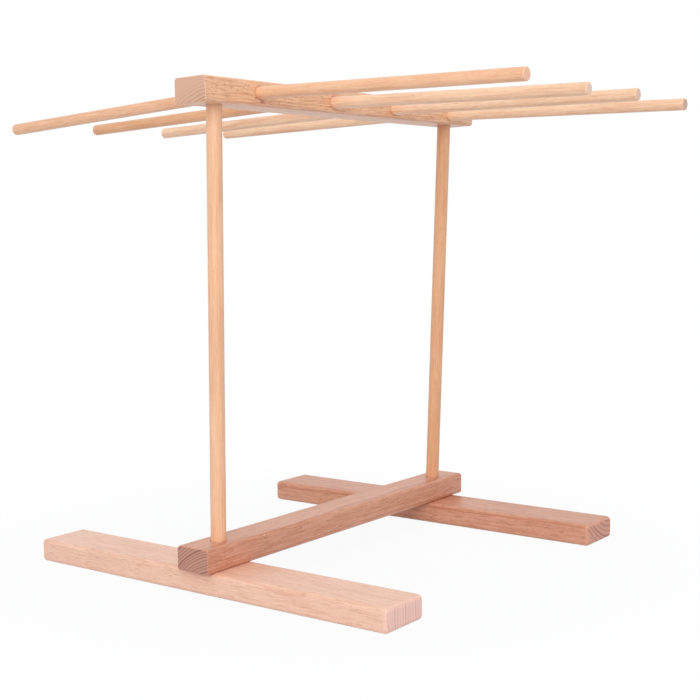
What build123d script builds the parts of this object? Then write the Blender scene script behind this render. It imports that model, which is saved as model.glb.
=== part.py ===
from build123d import *
from math import cos, radians, sin
import os

os.makedirs("parts", exist_ok=True)

# A wooden rack for drying fresh pasta. A rail lies across two flat feet and carries two round uprights.
# The uprights carry a top bar, and four round arms stand out of each long side of that bar.
# X runs along the feet, from the left arms to the right ones. Y runs along the rail, from near to far.
# Z is up from the table, and the origin is the middle of the whole rack's outline on the table.

# Rail and top bar, both cut from one section of wood
bar_length = 301.0
bar_width = 26.0
bar_height = 16.0
bar_edge_radius = 2.2
bar_end_radius = 0.8

# Feet
foot_width = 38.5
foot_height = 15.5
foot_edge_radius = 3.0
near_foot_length = 293.6
far_foot_length = 290.2
near_foot_offset = -2.2
far_foot_offset = 3.2
near_foot_setback = 5.5
far_foot_setback = 9.0

# Uprights, which stand loosely enough in their sockets to lean a little, and so shift, turn and tilt the top bar
upright_diameter = 10.0
upright_play = 0.3
upright_end_chamfer = 0.8
rail_socket_inset = 23.5
near_socket_shift = 1.0
far_socket_shift = 0.0
rail_socket_depth = 10.0
bar_socket_inset = 21.0
bar_socket_depth = 9.0
bar_underside_height = 307.0
bar_shift_across = 6.7
bar_shift_along = 2.2
bar_turn_angle = -0.9
bar_tilt_angle = 1.3

# Arms, each a round rod in a socket of its own, drooping a little from the bar. Their stations are
# shares of the bar's length, their reaches shares of their side's, and their rises shares of its height.
arm_diameter = 8.0
arm_play = 0.1
arm_end_radius = 0.9
arm_inner_chamfer = 0.6
arm_socket_depth = 10.0
arm_station_shares = (0.164, 0.417, 0.65, 0.894)
right_arm_reach = 191.0
left_arm_reach = 210.0
right_arm_reach_shares = (1.006, 0.997, 0.989, 0.989)
left_arm_reach_shares = (1.016, 1.005, 0.983, 0.978)
right_arm_droop_angles = (1.95, 2.25, 1.7, 2.1)
left_arm_droop_angles = (2.1, 1.25, 0.9, 0.3)
right_arm_rise_shares = (0.02, -0.07, -0.09, -0.11)
left_arm_rise_shares = (0.12, 0.11, 0.04, 0.07)

# Free space between a rod's end and the floor of its socket
socket_floor_gap = 0.3

# Countersunk screws, two through each foot into the rail
screw_spacing = 22.0
screw_recess = 0.6
screw_head_radius = 3.9
screw_core_radius = 1.4
screw_thread_radius = 2.0
screw_hole_radius = 2.2
screw_length = 25.0
screw_tip_length = 3.0
screw_thread_pitch = 1.6
screw_thread_turns = 9
screw_tip_gap = 1.0
drive_slot_width = 0.9
drive_slot_length = 4.2
drive_slot_depth = 1.4
countersink_angle = 90.0

# Places worked out from the sizes above
rail_top = foot_height + bar_height
bar_place = Vector(bar_shift_across, bar_shift_along, bar_underside_height)
bar_plane = Plane(Location(bar_place, (0, -bar_tilt_angle, bar_turn_angle)))
feet = {
    "near": (-1, near_foot_length, near_foot_offset, near_foot_setback),
    "far": (1, far_foot_length, far_foot_offset, far_foot_setback),
}
upright_ends = {"near": (-1, near_socket_shift), "far": (1, far_socket_shift)}
arm_stations = [share * bar_length for share in arm_station_shares]
right_arm_reaches = [share * right_arm_reach for share in right_arm_reach_shares]
left_arm_reaches = [share * left_arm_reach for share in left_arm_reach_shares]
right_arm_rises = [share * bar_height for share in right_arm_rise_shares]
left_arm_rises = [share * bar_height for share in left_arm_rise_shares]
arm_sides = {
    "left": (-1, left_arm_reaches, left_arm_droop_angles, left_arm_rises),
    "right": (1, right_arm_reaches, right_arm_droop_angles, right_arm_rises),
}


def foot_centre(end, offset, setback):
    """The middle of a foot's underside."""
    return Vector(offset, end * (bar_length / 2 - setback - foot_width / 2), 0)


def upright_axis(end, shift):
    """The plane across an upright where it leaves the rail, and its free length up to the top bar."""
    foot = Vector(shift, end * (bar_length / 2 - rail_socket_inset), rail_top)
    head = bar_plane.from_local_coords(Vector(0, end * (bar_length / 2 - bar_socket_inset), 0))
    return Plane(origin=foot, z_dir=head - foot), (head - foot).length


def arm_plane(side, station, droop, rise):
    """The plane across an arm where it leaves the top bar, facing along the arm."""
    root = Vector(side * bar_width / 2, station - bar_length / 2, bar_height / 2 + rise)
    across = bar_plane.x_dir * side * cos(radians(droop))
    down = bar_plane.z_dir * -sin(radians(droop))
    return Plane(origin=bar_plane.from_local_coords(root), z_dir=across + down)


def screw_planes(end, offset, setback):
    """Upright planes through the two screws of a foot, each centred where the screw's head starts."""
    middle = foot_centre(end, offset, setback)
    for step in (-1, 1):
        place = (0, middle.Y + step * screw_spacing / 2, screw_recess)
        yield Plane(origin=place, x_dir=(1, 0, 0), z_dir=(0, -1, 0))


def ease(bar, axis, edge_radius, end_radius):
    """Rounds the long edges of a bar, and by less the edges round its two ends."""
    fillet(bar.edges().filter_by(axis), radius=edge_radius)
    faces = bar.faces().sort_by(axis)
    fillet([*faces[0].edges(), *faces[-1].edges()], radius=end_radius)


pieces = []


def finish(piece, name):
    """Labels a finished piece and keeps it for writing."""
    piece.label = name
    pieces.append(piece)


# Feet: flat bars with rounded edges, drilled and countersunk from below
for name, (end, length, offset, setback) in feet.items():
    with BuildPart() as foot:
        with BuildSketch(Plane(origin=foot_centre(end, offset, setback))):
            Rectangle(length, foot_width)
        extrude(amount=foot_height)
        fillet(foot.edges(), radius=foot_edge_radius)
        for plane in screw_planes(end, offset, setback):
            with Locations(Plane(origin=(plane.origin.X, plane.origin.Y, 0), z_dir=(0, 0, -1))):
                CounterSinkHole(
                    radius=screw_hole_radius,
                    counter_sink_radius=screw_head_radius + screw_recess,
                    counter_sink_angle=countersink_angle,
                )
    finish(foot.part, f"foot_{name}")

# Base rail: a bar with rounded edges and eased ends, a socket for each upright and a hole for each screw
with BuildPart() as base_rail:
    with BuildSketch(Plane.XY.offset(foot_height)):
        Rectangle(bar_width, bar_length)
    extrude(amount=bar_height)
    ease(base_rail, Axis.Y, bar_edge_radius, bar_end_radius)
    for end, shift in upright_ends.values():
        with BuildSketch(upright_axis(end, shift)[0].offset(-rail_socket_depth)):
            Circle(upright_diameter / 2 + upright_play)
        extrude(amount=2 * rail_socket_depth, mode=Mode.SUBTRACT)
    for end, length, offset, setback in feet.values():
        for plane in screw_planes(end, offset, setback):
            with BuildSketch(Plane(origin=plane.origin)):
                Circle(screw_thread_radius)
            extrude(amount=screw_length + screw_tip_gap, mode=Mode.SUBTRACT)
finish(base_rail.part, "base_rail")

# Top bar: the same bar, with a socket below for each upright and a slanting side socket for each arm
with BuildPart() as top_bar:
    with BuildSketch(bar_plane):
        Rectangle(bar_width, bar_length)
    extrude(amount=bar_height)
    ease(top_bar, Axis(bar_place, bar_plane.y_dir), bar_edge_radius, bar_end_radius)
    for end, shift in upright_ends.values():
        axis, free_length = upright_axis(end, shift)
        with BuildSketch(axis.offset(free_length - bar_socket_depth)):
            Circle(upright_diameter / 2 + upright_play)
        extrude(amount=2 * bar_socket_depth, mode=Mode.SUBTRACT)
    for side, reaches, droops, rises in arm_sides.values():
        for station, droop, rise in zip(arm_stations, droops, rises):
            with BuildSketch(arm_plane(side, station, droop, rise).offset(-arm_socket_depth)):
                Circle(arm_diameter / 2 + arm_play)
            extrude(amount=2 * arm_socket_depth, mode=Mode.SUBTRACT)
finish(top_bar.part, "top_bar")

# Uprights: round rods with chamfered ends
for name, (end, shift) in upright_ends.items():
    axis, free_length = upright_axis(end, shift)
    sunk = rail_socket_depth - socket_floor_gap
    with BuildPart() as upright:
        with BuildSketch(axis.offset(-sunk)):
            Circle(upright_diameter / 2)
        extrude(amount=sunk + free_length + bar_socket_depth - socket_floor_gap)
        chamfer(upright.edges().filter_by(GeomType.CIRCLE), length=upright_end_chamfer)
    finish(upright.part, f"upright_{name}")

# Arms: round rods, chamfered at the end in the socket and rounded at the free end
for name, (side, reaches, droops, rises) in arm_sides.items():
    for number, (station, reach, droop, rise) in enumerate(zip(arm_stations, reaches, droops, rises), start=1):
        plane = arm_plane(side, station, droop, rise)
        sunk = arm_socket_depth - socket_floor_gap
        with BuildPart() as arm:
            with BuildSketch(plane.offset(-sunk)):
                Circle(arm_diameter / 2)
            extrude(amount=sunk + reach)
            rims = arm.edges().filter_by(GeomType.CIRCLE).sort_by(Axis(plane.origin, plane.z_dir))
            chamfer(rims[0], length=arm_inner_chamfer)
            rims = arm.edges().filter_by(GeomType.CIRCLE).sort_by(Axis(plane.origin, plane.z_dir))
            fillet(rims[-1], radius=arm_end_radius)
        finish(arm.part, f"arm_{name}_{number}")

# Screws: a countersunk head with a cross drive, a plain neck, a thread of rings and a pointed tip
for name, (end, length, offset, setback) in feet.items():
    for number, plane in enumerate(screw_planes(end, offset, setback), start=1):
        neck_start = screw_head_radius - screw_core_radius
        thread_start = screw_length - screw_tip_length - screw_thread_turns * screw_thread_pitch
        profile = [(0, 0), (screw_head_radius, 0), (screw_core_radius, neck_start)]
        for turn in range(screw_thread_turns):
            low = thread_start + turn * screw_thread_pitch
            profile.append((screw_core_radius, low))
            profile.append((screw_thread_radius, low + screw_thread_pitch / 2))
        profile.append((screw_core_radius, screw_length - screw_tip_length))
        profile.append((0, screw_length))
        with BuildPart() as screw:
            with BuildSketch(plane):
                with BuildLine():
                    Polyline(*profile, close=True)
                make_face()
            revolve(axis=Axis(plane.origin, (0, 0, 1)))
            with BuildSketch(Plane(origin=plane.origin)):
                Rectangle(drive_slot_length, drive_slot_width)
                Rectangle(drive_slot_width, drive_slot_length)
            extrude(amount=drive_slot_depth, mode=Mode.SUBTRACT)
        finish(screw.part, f"screw_{name}_{number}")

# The origin goes to the middle of the rack's outline on the table, and each piece is written
outline = Compound(children=[piece.moved(Location()) for piece in pieces]).bounding_box()
to_origin = Location((-outline.center().X, -outline.center().Y, 0))
for piece in pieces:
    placed = piece.moved(to_origin)
    placed.label = piece.label
    export_step(placed, f"parts/{piece.label}.step")
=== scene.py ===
import bpy
import numpy as np
from mathutils import Matrix, Vector

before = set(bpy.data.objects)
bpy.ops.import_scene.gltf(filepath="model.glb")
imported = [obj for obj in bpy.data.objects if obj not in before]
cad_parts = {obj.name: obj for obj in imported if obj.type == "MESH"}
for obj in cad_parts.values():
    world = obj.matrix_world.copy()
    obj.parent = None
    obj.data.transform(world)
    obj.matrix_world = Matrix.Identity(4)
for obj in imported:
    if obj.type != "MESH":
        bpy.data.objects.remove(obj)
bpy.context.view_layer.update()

# A pasta drying rack of unvarnished beech, on a white table under soft studio light.
# Each bar and rod is cut from its own piece of wood, so each has its own grain, rings and tone.

MILLIMETRE = 0.001
WHITE = (1.0, 1.0, 1.0, 1.0)

# The camera's place in metres, its bearing in degrees, its lens and film width in millimetres, and how far
# from it, in metres, it starts to see
camera_place = (0.56568, -0.74201, 0.23647)
camera_azimuth = 36.425
camera_pitch = -5.728
camera_roll = -0.547
camera_lens = 67.53
film_width = 36.0
nearest_seen = 0.01

# Light from all round, and square soft lamps turned towards the rack's middle. Places and widths are in
# metres, and tints are linear red, green and blue.
room_strength = 0.66
room_tint = (0.97, 0.99, 1.03)
rack_middle = (0.0, 0.0, 0.16)
lamps = {
    "key lamp": dict(place=(0.95, -1.55, 1.05), width=1.4, watts=16.5, tint=(1.0, 0.96, 0.91)),
    "top lamp": dict(place=(0.3, 0.2, 2.0), width=1.6, watts=3.5, tint=(0.97, 0.99, 1.0)),
}

# Table top: its size and how far it lies under the feet in metres, its linear colour, and how much of what is
# seen of it is plain white, near the rack's middle and far from it, with the distances of those two in metres
table_half_width = 6.0
table_drop = 0.2 * MILLIMETRE
table_colour = (0.72, 0.75, 0.80, 1.0)
table_roughness = 0.9
near_distance = 0.12
far_distance = 0.4
near_whiteness = 0.93
far_whiteness = 1.0

# The rack's beech comes in five tones, listed in round values: each is the wood's palest, as seen on
# a screen. A nick in the wood has a pale tone of its own.
beeches = {
    "cream": (255, 215, 180),
    "rosy": (250, 205, 180),
    "honey": (250, 200, 160),
    "amber": (240, 185, 140),
    "russet": (225, 165, 135),
}
nick_tone = (240, 205, 180)

# What is left of the palest tone's red, green and blue in the late rings, in the flecks and on the end grain,
# and what is left of the end grain's own pale tone in the rings there
deep_shares = (0.93, 0.86, 0.82)
fleck_shares = (0.8, 0.7, 0.65)
end_shares = (0.97, 0.98, 1.03)
end_ring_shares = (0.9, 0.85, 0.85)

# Wood of each piece, first its tone of beech. "pith" is where the heart of the tree lay, across and above the
# piece's middle. "ring" is the width of a year's growth, "wander" how far the rings stray along the piece,
# and "clear" how far from the pith they fade out, all in millimetres. "lines" and "marks" are how strongly
# the rings, and the rays and other small marks, show on the sides. "depth" is how much darker than the palest
# tone the others are, "end" how bright the end grain is beside the sides, and "end_depth" how dark its rings
# are.
woods = {
    "foot_near": dict(shade="rosy", pith=(150, 12), ring=2.6, wander=6, lines=0.35, marks=1.0, depth=0.7,
                      end=1.05, end_depth=1.0),
    "foot_far": dict(shade="russet", pith=(20, 38), ring=3.4, wander=5, clear=52, lines=1.1, marks=0.95,
                     depth=1.3, end=1.05, end_depth=3.0),
    "base_rail": dict(shade="russet", pith=(-20, -34), ring=1.75, wander=5, lines=0.9, marks=0.9, depth=1.3,
                      end=0.95, end_depth=4.0),
    "top_bar": dict(shade="honey", pith=(-28, -66), ring=2.0, wander=6, clear=68, lines=0.9, marks=1.0,
                    depth=1.3, end=0.95, end_depth=3.0),
    "upright_near": dict(shade="honey", pith=(60, 10), ring=1.6, wander=3, lines=0.3, marks=0.25),
    "upright_far": dict(shade="amber", pith=(40, 40), ring=1.9, wander=3, lines=0.45, marks=0.4),
    "arm_right_1": dict(shade="honey", pith=(50, 20), ring=2.0, wander=4, marks=0.45, end=1.05,
                        end_depth=1.0),
    "arm_right_2": dict(shade="cream", pith=(30, 50), ring=1.7, wander=3, marks=0.4, end=1.05,
                        end_depth=1.0),
    "arm_right_3": dict(shade="cream", pith=(45, -30), ring=1.5, wander=4, marks=0.6, end=1.0,
                        end_depth=1.0),
    "arm_right_4": dict(shade="cream", pith=(-40, 36), ring=1.8, wander=3, marks=0.5),
    "arm_left_1": dict(shade="honey", pith=(60, 24), ring=1.8, wander=3, marks=0.6),
    "arm_left_2": dict(shade="amber", pith=(-44, 30), ring=1.9, wander=4, marks=0.6),
    "arm_left_3": dict(shade="cream", pith=(52, -20), ring=1.6, wander=3, marks=0.5),
    "arm_left_4": dict(shade="cream", pith=(38, 44), ring=1.7, wander=3, marks=0.5),
}

# Rods that stand in sockets of each bar, and how wide and how dark the painted shade round a socket is: the
# shadow in the gap round the rod, painted into the bar's colour
socketed = {
    "base_rail": ("upright_near", "upright_far"),
    "top_bar": tuple(name for name in woods if name.startswith(("arm", "upright"))),
}
gap_shade_start = 0.1 * MILLIMETRE
gap_shade_end = 1.1 * MILLIMETRE
gap_shade_darkness = 0.6

# Pale nicks and small dark knots in the right side of the rail, and two dark spots of painted shade just
# under the first right arm's root on the bar's right side. All lie half a width across from their middles:
# the centre of each, along, across and above the middle, and its length along the piece, in millimetres, with
# how strongly it shows. Such a spot is narrower than it is long, and its edges are the shares of its size
# between which it fades in.
right_side = -13.0
nicks = {
    "base_rail": (
        dict(centre=(-95.5, right_side, 7.0), length=1.3, strength=0.5),
        dict(centre=(-91.5, right_side, 7.5), length=1.3, strength=0.4),
    ),
}
knots_and_painted_shade = {
    "base_rail": (
        dict(centre=(-93.5, right_side, 7.5), length=1.7, strength=0.7),
        dict(centre=(-65.0, right_side, 8.0), length=2.4, strength=0.6),
        dict(centre=(-57.0, right_side, 4.5), length=3.6, strength=0.4),
    ),
    # The bar's two dark spots are painted shade, the shadow just under the first right arm's root.
    "top_bar": (
        dict(centre=(-99.0, right_side, -5.0), length=5.0, strength=0.75),
        dict(centre=(-105.0, right_side, -3.0), length=3.2, strength=0.5),
    ),
}
spot_width_share = 0.6
nick_edges = (1.1, 0.7)
dark_spot_edges = (0.6, 0.2)

# Patterns in the beech. A rate is how many times a pattern changes in a millimetre, along, across and above
# the piece. A size is in millimetres, along the piece, round the pith and out from it. Edges are the values
# between which a pattern fades in. From one piece to the next the patterns move on by the seed's stride.
drift_rate = (0.011, 0.03, 0.03)
wave_rate = (0.06, 0.05, 0.05)
wave_width = 2.0
fibre_rate = (0.025, 1.6, 1.6)
streak_rate = (0.045, 1.1, 1.1)
streak_edges = (0.32, 0.68)
cloud_rate = (0.014, 0.07, 0.07)
patch_rate = (0.05, 0.22, 0.22)
soft_edges = (0.3, 0.7)
pore_rate = (0.45, 4.5, 4.5)
dash_rate = (0.075, 0.65, 0.65)
dash_edges = (0.3, 0.12)
short_dash_rate = (0.19, 1.1, 1.1)
short_dash_edges = (0.32, 0.12)
ray_size = (3.6, 0.95, 5.0)
ray_edges = (0.34, 0.12)
fine_ray_size = (1.7, 0.5, 2.4)
fine_ray_edges = (0.36, 0.1)
seed_stride = (37.0, 11.0, 23.0)

# Years of growth: how many years noise shifts them by and how often, the parts of a year in which late wood
# grows and in which it ends, and how strong the faintest year is. Past the clear distance the rings fade to a
# small share, over a width in millimetres on each side of it.
year_shift = 1.6
year_shift_rate = (0.35, 0.0, 0.0)
late_growth = (0.25, 0.9)
late_ending = (1.0, 0.93)
faintest_year = 0.4
fade_width = 6.0
faded_share = 0.15

# On the sides, plain years show faint lines and others strong ones. Clouds, patches, fibres and streaks lead
# towards the deep tone, the last two by more where the wood has stronger marks. Rays, faint where there are
# few pores, and dashes lead on to the fleck tone.
year_edges = (0.3, 0.9)
line_strengths = (0.4, 1.5)
cloud_share = 0.35
patch_share = 0.2
fibre_share = 0.2
fibre_share_of_marks = 0.45
streak_share = 0.25
streak_share_of_marks = 0.7
ray_share = 0.4
fine_ray_share = 0.22
ray_pore_edges = (0.35, 0.6)
faintest_ray = 0.35
dash_share = 0.55
short_dash_share = 0.3

# On the ends, how much the rings, pores and fine rays show. Faces show end grain as they turn square to the
# grain, and some of its paleness where they lie only a little aslant, as round an edge.
end_line_share = 0.9
end_pore_edges = (0.35, 0.65)
end_pore_share = 0.3
end_ray_share = 0.35
square_edges = (0.75, 0.95)
aslant_edges = (0.08, 0.4)
aslant_share = 0.4

# The feel of the sanded beech: its roughness, what ends and fibres add to it, and how high each pattern
# stands
side_roughness = 0.3
end_roughness = 0.15
fibre_roughness = 0.14
line_height = 0.35
fibre_height = 0.6
mark_height = -0.5
pore_height = 0.3
beech_gloss = 0.5
beech_relief_strength = 0.5
beech_relief = 0.12 * MILLIMETRE

# Zinc plate: its two tones as seen on a screen, how many times its patterns change in a metre, its roughness
# and what the turning marks add to that, and their relief
dull_zinc = (196, 194, 184)
bright_zinc = (222, 220, 214)
zinc_cloud_rate = (900.0, 900.0, 900.0)
turning_rate = (2500.0, 2500.0, 9000.0)
zinc_roughness = 0.22
turning_roughness = 0.3
zinc_relief_strength = 0.3
zinc_relief = 0.03 * MILLIMETRE


def tone(colour):
    """A colour as read on a screen, from 0 to 255, turned into the linear value that a shader takes."""
    screen = np.minimum(colour, 255.0) / 255.0
    linear = np.where(screen <= 0.04045, screen / 12.92, ((screen + 0.055) / 1.055) ** 2.4)
    return (*linear, 1.0)


def darken(colour, shares, depth=1.0):
    """A colour with each of its parts multiplied by its share, as many times over as the depth says."""
    return np.array(colour) * np.array(shares) ** depth


def node(tree, kind, *values, **settings):
    """A shader node with its settings, and its inputs linked or set in their order."""
    made = tree.nodes.new(kind)
    for key, value in settings.items():
        setattr(made, key, value)
    for socket, value in zip(made.inputs, values):
        if isinstance(value, bpy.types.NodeSocket):
            tree.links.new(value, socket)
        elif value is not None:
            socket.default_value = value
    return made


def figure(tree, operation, *values):
    """One sum on numbers."""
    return node(tree, "ShaderNodeMath", *values, operation=operation).outputs[0]


def vector(tree, operation, *values, result=0):
    """One sum on vectors. Those that give a number give it as result 1."""
    return node(tree, "ShaderNodeVectorMath", *values, operation=operation).outputs[result]


def join(tree, x, y, z):
    """A vector from three numbers."""
    return node(tree, "ShaderNodeCombineXYZ", x, y, z).outputs[0]


def step(tree, value, low, high, start=0.0, stop=1.0):
    """A smooth step from one value to another as the input goes from low to high."""
    made = node(tree, "ShaderNodeMapRange", value, low, high, start, stop, interpolation_type="SMOOTHSTEP")
    return made.outputs[0]


def blend(tree, share, first, second):
    """Two colours mixed by a share."""
    made = node(tree, "ShaderNodeMix", data_type="RGBA")
    for socket, value in zip((made.inputs[0], made.inputs[6], made.inputs[7]), (share, first, second)):
        if isinstance(value, bpy.types.NodeSocket):
            tree.links.new(value, socket)
        else:
            socket.default_value = value
    return made.outputs[2]


def noise(tree, place, rate, detail=2.0, roughness=0.5, channel=0):
    """Soft noise that changes at its own rate in each direction. Channel 1 gives three noises as a vector."""
    made = node(tree, "ShaderNodeTexNoise", vector(tree, "MULTIPLY", place, rate))
    made.inputs["Scale"].default_value = 1.0
    made.inputs["Detail"].default_value = detail
    made.inputs["Roughness"].default_value = roughness
    return made.outputs[channel]


def centred_noise(tree, place, rate):
    """Three soft noises as a vector, each from minus a half to a half."""
    return vector(tree, "SUBTRACT", noise(tree, place, rate, channel=1), (0.5, 0.5, 0.5))


def specks(tree, place):
    """The distance to the nearest of a cloud of points about one unit apart."""
    made = node(tree, "ShaderNodeTexVoronoi", place)
    made.inputs["Scale"].default_value = 1.0
    return made.outputs["Distance"]


def place_from_pith(tree, given, place):
    """How far a point lies out from the pith and round it. The pith is moved by noise along the tree. The way
    round is the angle at the pith times the distance from there to the piece's middle."""
    drift = vector(tree, "SCALE", centred_noise(tree, place, drift_rate), None, None, given["Wander"])
    out = vector(tree, "ADD", vector(tree, "SUBTRACT", given["Place"], given["Pith"]), drift)
    out = vector(tree, "MULTIPLY", out, (0.0, 1.0, 1.0))
    reach = vector(tree, "LENGTH", out, result=1)
    _, across, above = node(tree, "ShaderNodeSeparateXYZ", out).outputs
    turn = figure(tree, "ARCTAN2", above, across)
    around = figure(tree, "MULTIPLY", turn, vector(tree, "LENGTH", given["Pith"], result=1))
    return reach, around


def yearly_rings(tree, given, reach):
    """How much late wood there is at a point, and its year's own tone. The year is the distance from the pith
    over the width of a ring, made uneven by noise. In each year the late wood grows slowly and ends at once,
    and it has the year's own strength. Past the clear distance the rings fade out."""
    years = figure(tree, "DIVIDE", reach, given["Ring"])
    uneven = noise(tree, join(tree, years, 0.0, 0.0), year_shift_rate, detail=1.0)
    years = figure(tree, "MULTIPLY_ADD", uneven, year_shift, years)
    season = figure(tree, "FRACT", years)
    whole_years = figure(tree, "FLOOR", years)
    year_tone = node(tree, "ShaderNodeTexWhiteNoise", None, whole_years, noise_dimensions="1D").outputs[0]
    late = figure(tree, "MULTIPLY", step(tree, season, *late_growth), step(tree, season, *late_ending))
    strength = figure(tree, "MULTIPLY_ADD", year_tone, 1.0 - faintest_year, faintest_year)
    late = figure(tree, "MULTIPLY", late, strength)
    past_clear = figure(tree, "SUBTRACT", reach, given["Clear"])
    late = figure(tree, "MULTIPLY", late, step(tree, past_clear, -fade_width, fade_width, 1.0, faded_share))
    return late, year_tone


def rays_and_fine_rays(tree, place, reach, around):
    """Two kinds of thin plates that point at the pith: specks drawn out to a ray's size along the piece,
    round the pith and out from it. They show as dashes on the sides, and as lines across the rings on an
    end."""
    along = node(tree, "ShaderNodeSeparateXYZ", place).outputs[0]
    polar = join(tree, along, around, reach)
    rays = step(tree, specks(tree, vector(tree, "DIVIDE", polar, ray_size)), *ray_edges)
    fine_rays = step(tree, specks(tree, vector(tree, "DIVIDE", polar, fine_ray_size)), *fine_ray_edges)
    return rays, fine_rays


def wavy_place(tree, place):
    """A point moved a little from side to side by noise, so that fibres and dashes run in slight waves."""
    wave = vector(tree, "MULTIPLY", centred_noise(tree, place, wave_rate), (0.0, wave_width, wave_width))
    return vector(tree, "ADD", place, wave)


def side_depth(tree, given, place, wavy, fibres, late, year_tone):
    """How far the sides go from the pale tone to the deep one: the late wood's lines, plus slow clouds and
    patches, plus fibres and streaks that count for more in wood with stronger marks."""
    lines = figure(tree, "MULTIPLY", late, step(tree, year_tone, *year_edges, *line_strengths))
    depth = figure(tree, "MULTIPLY", lines, given["Lines"])
    for rate, share in ((cloud_rate, cloud_share), (patch_rate, patch_share)):
        depth = figure(tree, "MULTIPLY_ADD", step(tree, noise(tree, place, rate), *soft_edges), share, depth)
    streaks = noise(tree, wavy, streak_rate, detail=2.5, roughness=0.6)
    for pattern, edges, share_of_marks, share in (
        (fibres, soft_edges, fibre_share_of_marks, fibre_share),
        (streaks, streak_edges, streak_share_of_marks, streak_share),
    ):
        strength = figure(tree, "MULTIPLY_ADD", given["Marks"], share_of_marks, share)
        depth = figure(tree, "MULTIPLY_ADD", step(tree, pattern, *edges, -0.5, 0.5), strength, depth)
    return depth


def side_marks(tree, given, place, wavy, pores, rays, fine_rays):
    """How far the sides go to the fleck tone: rays, broken up by pores, plus long and short dashes, all times
    the strength of the wood's marks."""
    marks = figure(tree, "MULTIPLY", rays, ray_share)
    marks = figure(tree, "MULTIPLY_ADD", fine_rays, fine_ray_share, marks)
    marks = figure(tree, "MULTIPLY", marks, step(tree, pores, *ray_pore_edges, faintest_ray, 1.0))
    short_dashes = specks(tree, vector(tree, "MULTIPLY", place, short_dash_rate))
    short_dashes = figure(tree, "MULTIPLY", step(tree, short_dashes, *short_dash_edges), short_dash_share)
    dashes = specks(tree, vector(tree, "MULTIPLY", wavy, dash_rate))
    dashes = figure(tree, "MULTIPLY_ADD", step(tree, dashes, *dash_edges), dash_share, short_dashes)
    return figure(tree, "MULTIPLY", figure(tree, "ADD", marks, dashes), given["Marks"])


def end_colour(tree, given, late, pores, fine_rays):
    """The end grain: pale wood with deep rings and some dark pores, and pale fine rays across them."""
    dark_pores = figure(tree, "MULTIPLY", step(tree, pores, *end_pore_edges), end_pore_share)
    depth = figure(tree, "MULTIPLY_ADD", late, end_line_share, dark_pores)
    end = blend(tree, depth, given["End pale"], given["End deep"])
    return blend(tree, figure(tree, "MULTIPLY", fine_rays, end_ray_share), end, given["End pale"])


def grain_group():
    """An empty node group with the sockets that the grain of beech needs."""
    tree = bpy.data.node_groups.new("beech grain", "ShaderNodeTree")
    sockets = (
        ("INPUT", "NodeSocketVector", ("Place", "Pith", "Seed")),
        ("INPUT", "NodeSocketFloat", ("Facing", "Ring", "Wander", "Clear", "Lines", "Marks")),
        ("INPUT", "NodeSocketColor", ("Pale", "Deep", "Fleck", "End pale", "End deep")),
        ("OUTPUT", "NodeSocketColor", ("Colour",)),
        ("OUTPUT", "NodeSocketFloat", ("Roughness", "Height")),
    )
    for side, kind, names in sockets:
        for name in names:
            tree.interface.new_socket(name, in_out=side, socket_type=kind)
    return tree


def beech_grain():
    """The grain of beech, worked out in the solid wood, so that the sides and the ends of a piece agree.
    Faces square to the grain take the end grain, and those a little aslant take some of its paleness."""
    tree = grain_group()
    given = tree.nodes.new("NodeGroupInput").outputs
    place = vector(tree, "ADD", given["Place"], given["Seed"])
    wavy = wavy_place(tree, place)
    reach, around = place_from_pith(tree, given, place)
    late, year_tone = yearly_rings(tree, given, reach)
    rays, fine_rays = rays_and_fine_rays(tree, place, reach, around)
    fibres = noise(tree, wavy, fibre_rate, detail=3.0, roughness=0.6)
    pores = noise(tree, place, pore_rate, roughness=0.7)

    depth = side_depth(tree, given, place, wavy, fibres, late, year_tone)
    marks = side_marks(tree, given, place, wavy, pores, rays, fine_rays)
    side = blend(tree, depth, given["Pale"], given["Deep"])
    side = blend(tree, marks, side, given["Fleck"])
    facing = figure(tree, "ABSOLUTE", given["Facing"])
    end_on = step(tree, facing, *square_edges)
    side_on = figure(tree, "SUBTRACT", 1.0, end_on)
    aslant = figure(tree, "MULTIPLY", step(tree, facing, *aslant_edges), side_on)
    side = blend(tree, figure(tree, "MULTIPLY", aslant, aslant_share), side, given["End pale"])
    end = end_colour(tree, given, late, pores, fine_rays)

    rough = figure(tree, "MULTIPLY_ADD", end_on, end_roughness, side_roughness)
    rough = figure(tree, "MULTIPLY_ADD", fibres, fibre_roughness, rough)
    height = figure(tree, "MULTIPLY", fibres, fibre_height)
    for pattern, share in ((late, line_height), (marks, mark_height), (pores, pore_height)):
        height = figure(tree, "MULTIPLY_ADD", pattern, share, height)
    leaving = tree.nodes.new("NodeGroupOutput").inputs
    tree.links.new(blend(tree, end_on, side, end), leaving["Colour"])
    tree.links.new(rough, leaving["Roughness"])
    tree.links.new(height, leaving["Height"])
    return tree


def piece_points(name):
    """A node's mesh points, as an array of places in metres."""
    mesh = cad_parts[name].data
    points = np.empty(len(mesh.vertices) * 3)
    mesh.vertices.foreach_get("co", points)
    return points.reshape(-1, 3)


def grain_frame(name):
    """A piece's middle, and its own axes: along it, across it and above it. The axis along a piece runs
    between the middles of its two ends, each half way between the furthest points near that end."""
    points = piece_points(name)
    low, high = points.min(axis=0), points.max(axis=0)
    longest = int(np.argmax(high - low))
    near_end = 3 * MILLIMETRE
    first = points[points[:, longest] < low[longest] + near_end]
    last = points[points[:, longest] > high[longest] - near_end]
    start, stop = ((end.min(axis=0) + end.max(axis=0)) / 2 for end in (first, last))
    along = Vector(stop - start).normalized()
    upward = Vector((1, 0, 0)) if longest == 2 else Vector((0, 0, 1))
    across = upward.cross(along).normalized()
    above = along.cross(across)
    return Vector((start + stop) / 2), Matrix((along, across, above)).transposed()


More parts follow.
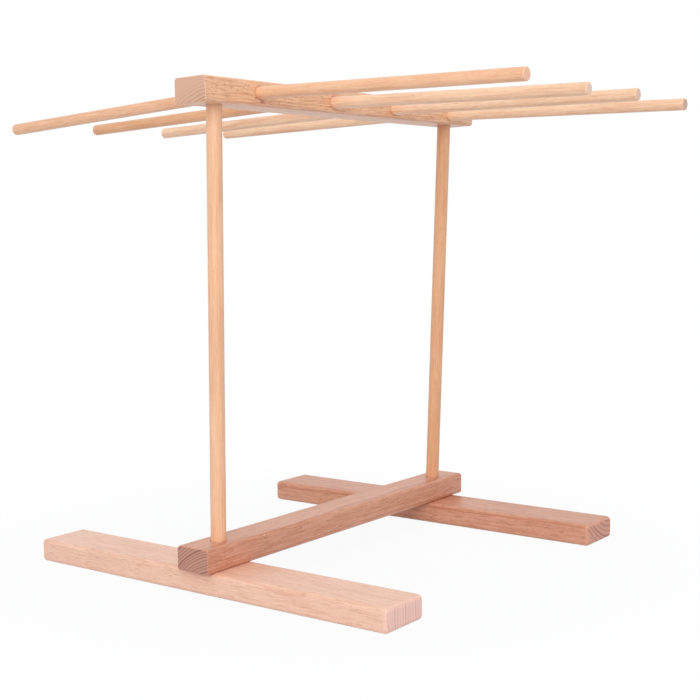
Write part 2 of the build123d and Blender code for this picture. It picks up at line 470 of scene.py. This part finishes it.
def rod_sizes(name):
    """The radius and half the length of a rod: the furthest that its points lie from its axis, and from its
    middle along the axis."""
    middle, axes = grain_frame(name)
    way = piece_points(name) - middle
    away = np.linalg.norm(np.cross(way, axes.col[0]), axis=1)
    return float(away.max()), float(np.abs(way @ axes.col[0]).max())


def socket_gap_shade(tree, place, rods):
    """How much painted shade darkens the wood close round the sockets of some rods: the shadow in the narrow
    gap round each rod. A point's distance from a rod is measured to the nearest point of its axis: as far
    along it as the way there reaches, up to its ends."""
    gap_shade = None
    for rod in rods:
        middle, axes = grain_frame(rod)
        axis = tuple(axes.col[0])
        radius, half_length = rod_sizes(rod)
        way = vector(tree, "SUBTRACT", place, tuple(middle))
        along = vector(tree, "DOT_PRODUCT", way, axis, result=1)
        along = figure(tree, "MAXIMUM", figure(tree, "MINIMUM", along, half_length), -half_length)
        nearest = vector(tree, "SCALE", axis, None, None, along)
        away = vector(tree, "LENGTH", vector(tree, "SUBTRACT", way, nearest), result=1)
        share = step(tree, away, radius + gap_shade_end, radius + gap_shade_start, 0.0, gap_shade_darkness)
        gap_shade = share if gap_shade is None else figure(tree, "MAXIMUM", gap_shade, share)
    return gap_shade


def spot(tree, place, edges, centre, length, strength):
    """How strongly a small spot shows at a point, used for nicks, knots and spots of painted shade. The way
    there from the spot's centre is divided by the spot's length and width, and the spot fades in between two
    values of what is left."""
    width = spot_width_share * length
    way = vector(tree, "SUBTRACT", place, centre)
    away = vector(tree, "LENGTH", vector(tree, "DIVIDE", way, (length, width, width)), result=1)
    return step(tree, away, *edges, 0.0, strength)


def new_material(name):
    """An empty material, its node tree and its shader."""
    material = bpy.data.materials.new(name)
    material.use_nodes = True
    return material, material.node_tree, material.node_tree.nodes["Principled BSDF"]


def add_relief(tree, shader, height, strength, tallest):
    """Fine relief on a surface, in which a height of one stands for the tallest's metres."""
    bump = node(tree, "ShaderNodeBump", strength, tallest)
    tree.links.new(height, bump.inputs["Height"])
    tree.links.new(bump.outputs[0], shader.inputs["Normal"])


def beech(name, grain, seed, shade, pith, ring, wander, marks, depth=1.0, end=0.9, end_depth=1.5,
          clear=1000.0, lines=0.5):
    """Sanded beech for one piece, with its grain along the piece. Its seed picks its patches and streaks."""
    material, tree, shader = new_material(f"beech {name.replace('_', ' ')}")
    pale = beeches[shade]
    fleck = tone(darken(pale, fleck_shares, depth))
    end_pale = end * darken(pale, end_shares)
    middle, axes = grain_frame(name)
    coordinates = tree.nodes.new("ShaderNodeTexCoord").outputs
    place = node(tree, "ShaderNodeMapping", coordinates["Object"], tuple(middle), axes.to_euler(),
                 (MILLIMETRE, MILLIMETRE, MILLIMETRE), vector_type="TEXTURE").outputs[0]
    facing = vector(tree, "DOT_PRODUCT", coordinates["Normal"], tuple(axes.col[0]), result=1)
    wood = node(tree, "ShaderNodeGroup", node_tree=grain)
    for socket, value in (
        ("Pith", (0.0, *pith)), ("Seed", seed * np.array(seed_stride)), ("Ring", ring), ("Wander", wander),
        ("Clear", clear), ("Lines", lines), ("Marks", marks),
        ("Pale", tone(pale)), ("Deep", tone(darken(pale, deep_shares, depth))), ("Fleck", fleck),
        ("End pale", tone(end_pale)), ("End deep", tone(darken(end_pale, end_ring_shares, end_depth))),
    ):
        wood.inputs[socket].default_value = value
    tree.links.new(place, wood.inputs["Place"])
    tree.links.new(facing, wood.inputs["Facing"])
    colour = wood.outputs["Colour"]
    # Painted shade: the shadow in the gap round each socket, darkened towards the fleck tone.
    if name in socketed:
        gap_shade = socket_gap_shade(tree, coordinates["Object"], socketed[name])
        colour = blend(tree, gap_shade, colour, fleck)
    for nick in nicks.get(name, ()):
        colour = blend(tree, spot(tree, place, nick_edges, **nick), colour, tone(nick_tone))
    # Dark knots on the rail, and on the bar painted shade under the first right arm's root, darkened towards
    # the fleck tone.
    for dark_spot in knots_and_painted_shade.get(name, ()):
        colour = blend(tree, spot(tree, place, dark_spot_edges, **dark_spot), colour, fleck)
    tree.links.new(colour, shader.inputs["Base Color"])
    tree.links.new(wood.outputs["Roughness"], shader.inputs["Roughness"])
    shader.inputs["Specular IOR Level"].default_value = beech_gloss
    add_relief(tree, shader, wood.outputs["Height"], beech_relief_strength, beech_relief)
    return material


def zinc_plate():
    """Bright zinc on the screws, a little cloudy, with fine turning marks round the head."""
    material, tree, shader = new_material("zinc plate")
    place = tree.nodes.new("ShaderNodeTexCoord").outputs["Object"]
    cloud = noise(tree, place, zinc_cloud_rate, detail=3.0)
    turning = noise(tree, place, turning_rate)
    tree.links.new(blend(tree, cloud, tone(dull_zinc), tone(bright_zinc)), shader.inputs["Base Color"])
    rough = figure(tree, "MULTIPLY_ADD", turning, turning_roughness, zinc_roughness)
    tree.links.new(rough, shader.inputs["Roughness"])
    shader.inputs["Metallic"].default_value = 1.0
    add_relief(tree, shader, turning, zinc_relief_strength, zinc_relief)
    return material


def finish(name, material):
    """Puts a material on all of a piece's slots."""
    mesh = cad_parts[name].data
    if not mesh.materials:
        mesh.materials.append(material)
    for slot in range(len(mesh.materials)):
        mesh.materials[slot] = material


def dress_pieces():
    """Gives every piece of the rack its own wood, and the screws their plating."""
    grain = beech_grain()
    plate = zinc_plate()
    for seed, (name, wood) in enumerate(woods.items(), start=1):
        finish(name, beech(name, grain, seed, **wood))
    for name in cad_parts:
        if name.startswith("screw"):
            finish(name, plate)


def seen_share(tree):
    """One where a ray comes from the camera, a mirror-like surface or glass, and nought elsewhere."""
    rays = tree.nodes.new("ShaderNodeLightPath").outputs
    seen = figure(tree, "MAXIMUM", rays["Is Camera Ray"], rays["Is Glossy Ray"])
    return figure(tree, "MAXIMUM", seen, rays["Is Transmission Ray"])


def white_table():
    """A wide white table top. What is seen of it is plain white, with a little of its shading near the rack:
    the white's share grows smoothly between two distances from the rack's middle."""
    corners = np.array([(-1, -1), (1, -1), (1, 1), (-1, 1)]) * table_half_width
    mesh = bpy.data.meshes.new("table")
    mesh.from_pydata([(x, y, -table_drop) for x, y in corners], [], [(0, 1, 2, 3)])
    top = bpy.data.objects.new("table", mesh)
    bpy.context.scene.collection.objects.link(top)
    material, tree, shader = new_material("white table")
    shader.inputs["Base Color"].default_value = table_colour
    shader.inputs["Roughness"].default_value = table_roughness
    shader.inputs["Specular IOR Level"].default_value = 0.0
    glow = node(tree, "ShaderNodeEmission", WHITE, 1.0)
    place = tree.nodes.new("ShaderNodeTexCoord").outputs["Object"]
    distance = vector(tree, "LENGTH", place, result=1)
    white = step(tree, distance, near_distance, far_distance, near_whiteness, far_whiteness)
    shown = node(tree, "ShaderNodeMixShader", figure(tree, "MULTIPLY", seen_share(tree), white))
    tree.links.new(shader.outputs[0], shown.inputs[1])
    tree.links.new(glow.outputs[0], shown.inputs[2])
    tree.links.new(shown.outputs[0], tree.nodes["Material Output"].inputs["Surface"])
    mesh.materials.append(material)


def room_light():
    """Even, slightly cool light from all round, in front of a white backdrop."""
    world = bpy.data.worlds.new("studio")
    bpy.context.scene.world = world
    world.use_nodes = True
    tree = world.node_tree
    backdrop = tree.nodes["Background"].inputs
    seen = seen_share(tree)
    strength = figure(tree, "MULTIPLY_ADD", seen, 1.0 - room_strength, room_strength)
    tree.links.new(blend(tree, seen, (*room_tint, 1.0), WHITE), backdrop["Color"])
    tree.links.new(strength, backdrop["Strength"])


def soft_lamp(name, place, width, watts, tint):
    """A square soft lamp, turned towards the rack's middle."""
    lamp = bpy.data.lights.new(name, "AREA")
    lamp.size = width
    lamp.energy = watts
    lamp.color = tint
    holder = bpy.data.objects.new(name, lamp)
    direction = Vector(rack_middle) - Vector(place)
    turned = direction.to_track_quat("-Z", "Y").to_matrix().to_4x4()
    holder.matrix_world = Matrix.Translation(place) @ turned
    bpy.context.scene.collection.objects.link(holder)


def take_camera():
    """The photograph's camera. Its bearing turns left from +Y, then it tips and rolls about its own view."""
    bearing, pitch, roll = np.radians((camera_azimuth, camera_pitch, camera_roll))
    view = Vector((-np.sin(bearing) * np.cos(pitch), np.cos(bearing) * np.cos(pitch), np.sin(pitch)))
    level = Vector((np.cos(bearing), np.sin(bearing), 0.0))
    upright = level.cross(view)
    right = level * np.cos(roll) + upright * np.sin(roll)
    up = upright * np.cos(roll) - level * np.sin(roll)
    data = bpy.data.cameras.new("camera")
    data.lens = camera_lens
    data.sensor_width = film_width
    data.clip_start = nearest_seen
    camera = bpy.data.objects.new("camera", data)
    turned = Matrix((right, up, -view)).transposed().to_4x4()
    camera.matrix_world = Matrix.Translation(camera_place) @ turned
    bpy.context.scene.collection.objects.link(camera)
    bpy.context.scene.camera = camera


dress_pieces()
white_table()
room_light()
for name, lamp in lamps.items():
    soft_lamp(name, **lamp)
take_camera()
bpy.context.scene.view_settings.view_transform = "Standard"
